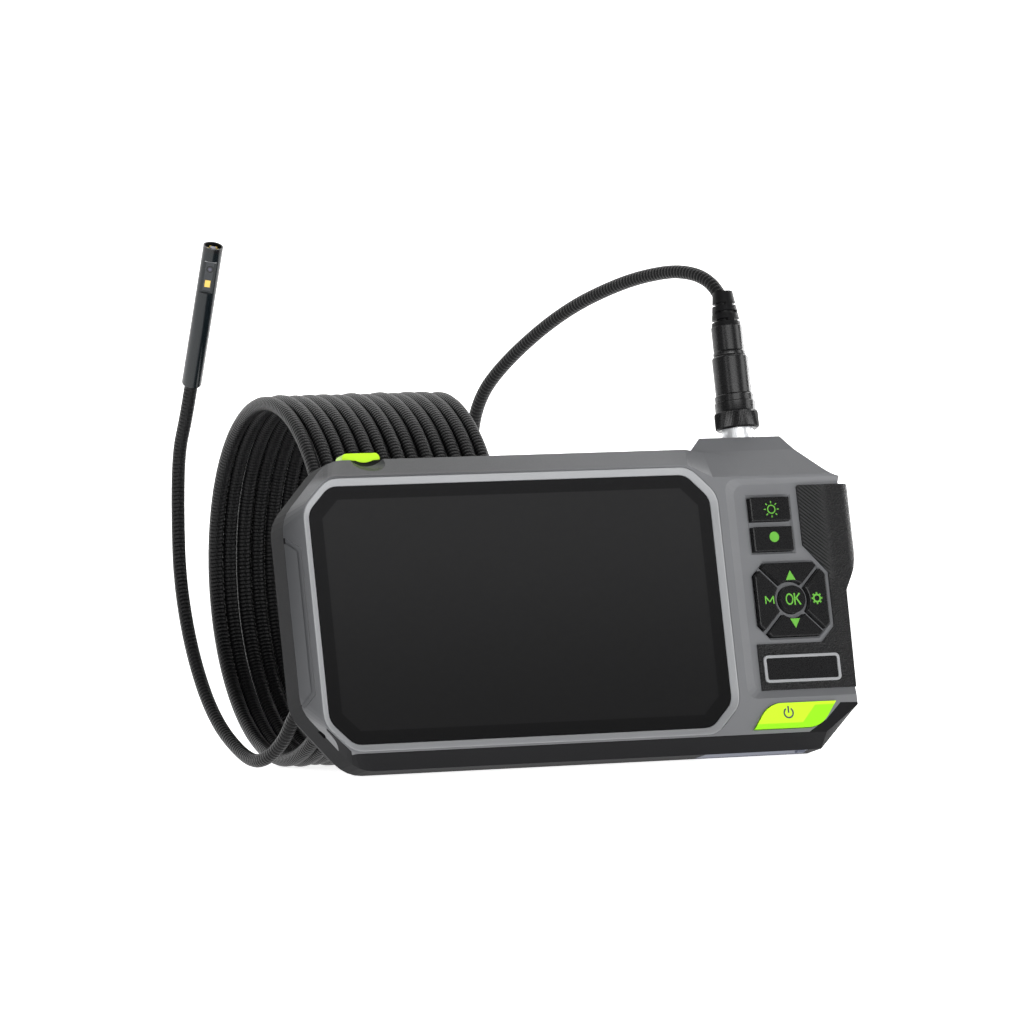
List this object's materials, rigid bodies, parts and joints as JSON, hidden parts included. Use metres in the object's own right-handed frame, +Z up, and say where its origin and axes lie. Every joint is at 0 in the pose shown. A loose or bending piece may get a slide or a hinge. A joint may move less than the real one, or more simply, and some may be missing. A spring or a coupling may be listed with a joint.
{
  "type": "inspection camera",
  "caption": "Handheld inspection camera: screen and keys in a leaning two-shell case, with a coiled semi-rigid cable from its top socket to a slim metal probe with forward and side cameras.",
  "frame": {"origin": "on the surface that it stands on, under the middle of the handset's extents with its plug, the free cable and probe left out", "axes": "+X to the right along the screen, +Y to the back, +Z up; the handset leans back 10 degrees about X"},
  "size_m": [0.1662, 0.1409, 0.1445],
  "materials": {
    "shell_grey": "satin moulded grey",
    "shell_dark": "fine matt charcoal",
    "grip": "pebbled black rubber",
    "bezel": "satin silver-grey paint",
    "cover_glass": "black printed cover glass",
    "display": "dark display, off",
    "keys": "black satin keys with green symbols",
    "lime": "lime key",
    "rubber_inner": "moulded key sheet",
    "door_rubber": "blue-grey rubber",
    "frame_alloy": "die-cast",
    "circuit": "green circuit board",
    "switch_plastic": "black",
    "ribbon": "amber film",
    "cell": "wrapped flat cell",
    "steel": "pressed steel",
    "brass": "bright",
    "chrome": "polished",
    "plug_black": "black satin",
    "plug_plastic": "black",
    "relief_rubber": "black",
    "cable": "black braided sleeve over a semi-rigid core",
    "probe_metal": "dark blue-grey gloss",
    "probe_black": "black",
    "lens": "small lens",
    "led": "yellow phosphor"
  },
  "bodies": {
    "handset": {"battery": "cell", "cable_coil": "cable", "cable_lead": "cable", "cable_tail": "cable", "camera_module": "switch_plastic", "card_slot": "steel", "case_screws": "steel", "display_frame": "frame_alloy", "display_ribbon": "ribbon", "door_pin": "steel", "front_board": "circuit", "front_lens": "lens", "front_lights": "led", "front_shell": "shell_grey", "grip_rubber": "grip", "key_board": "circuit", "key_membrane": "rubber_inner", "key_switches": "switch_plastic", "label_frame": "bezel", "label_plate": "keys", "lcd_panel": "display", "main_board": "circuit", "plug_body": "plug_black", "plug_contacts": "brass", "plug_insert": "plug_plastic", "plug_sleeve": "plug_plastic", "port_board": "circuit", "probe_front_ring": "probe_black", "probe_housing": "probe_metal", "processor_shield": "steel", "rear_shell": "shell_dark", "screen_bezel": "bezel", "screen_glass": "cover_glass", "side_board": "circuit", "side_lens": "lens", "side_light": "led", "side_window": "lens", "socket_insert": "plug_plastic", "socket_nut": "chrome", "socket_pins": "brass", "socket_shell": "chrome", "strain_relief": "relief_rubber", "threaded_inserts": "brass", "top_key_switch": "switch_plastic", "usb_port": "steel"},
    "light_key": {"light_key": "keys"},
    "record_key": {"record_key": "keys"},
    "up_key": {"up_key": "keys"},
    "down_key": {"down_key": "keys"},
    "menu_key": {"menu_key": "keys"},
    "settings_key": {"settings_key": "keys"},
    "ok_key": {"ok_key": "keys"},
    "power_key": {"power_key": "lime"},
    "top_key": {"top_key": "lime"},
    "coupling_nut": {"coupling_nut": "plug_black"},
    "port_door": {"port_door": "door_rubber"}
  },
  "joints": [
    {"name": "light_key_press", "type": "slide", "parent": "handset", "child": "light_key", "axis": [0, 0.9848, -0.1736], "range_m": [0, 0.0006], "stiffness_N_per_m": 800},
    {"name": "record_key_press", "type": "slide", "parent": "handset", "child": "record_key", "axis": [0, 0.9848, -0.1736], "range_m": [0, 0.0006], "stiffness_N_per_m": 800},
    {"name": "up_key_press", "type": "slide", "parent": "handset", "child": "up_key", "axis": [0, 0.9848, -0.1736], "range_m": [0, 0.0006], "stiffness_N_per_m": 800},
    {"name": "down_key_press", "type": "slide", "parent": "handset", "child": "down_key", "axis": [0, 0.9848, -0.1736], "range_m": [0, 0.0006], "stiffness_N_per_m": 800},
    {"name": "menu_key_press", "type": "slide", "parent": "handset", "child": "menu_key", "axis": [0, 0.9848, -0.1736], "range_m": [0, 0.0006], "stiffness_N_per_m": 800},
    {"name": "settings_key_press", "type": "slide", "parent": "handset", "child": "settings_key", "axis": [0, 0.9848, -0.1736], "range_m": [0, 0.0006], "stiffness_N_per_m": 800},
    {"name": "ok_key_press", "type": "slide", "parent": "handset", "child": "ok_key", "axis": [0, 0.9848, -0.1736], "range_m": [0, 0.0006], "stiffness_N_per_m": 800},
    {"name": "power_key_press", "type": "slide", "parent": "handset", "child": "power_key", "axis": [0, 0.9848, -0.1736], "range_m": [0, 0.0006], "stiffness_N_per_m": 800},
    {"name": "top_key_press", "type": "slide", "parent": "handset", "child": "top_key", "axis": [0, -0.1736, -0.9848], "range_m": [0, 0.001], "stiffness_N_per_m": 600},
    {"name": "coupling_nut_turn", "type": "hinge", "parent": "handset", "child": "coupling_nut", "pos_m": [0.0579, 0.0114, 0.09131], "axis": [0, 0.1736, 0.9848], "continuous": true},
    {"name": "port_door_swing", "type": "hinge", "parent": "handset", "child": "port_door", "pos_m": [0.0484, -0.0073, 0.00078], "axis": [1, 0, 0], "range_deg": [0, 100]}
  ]
}
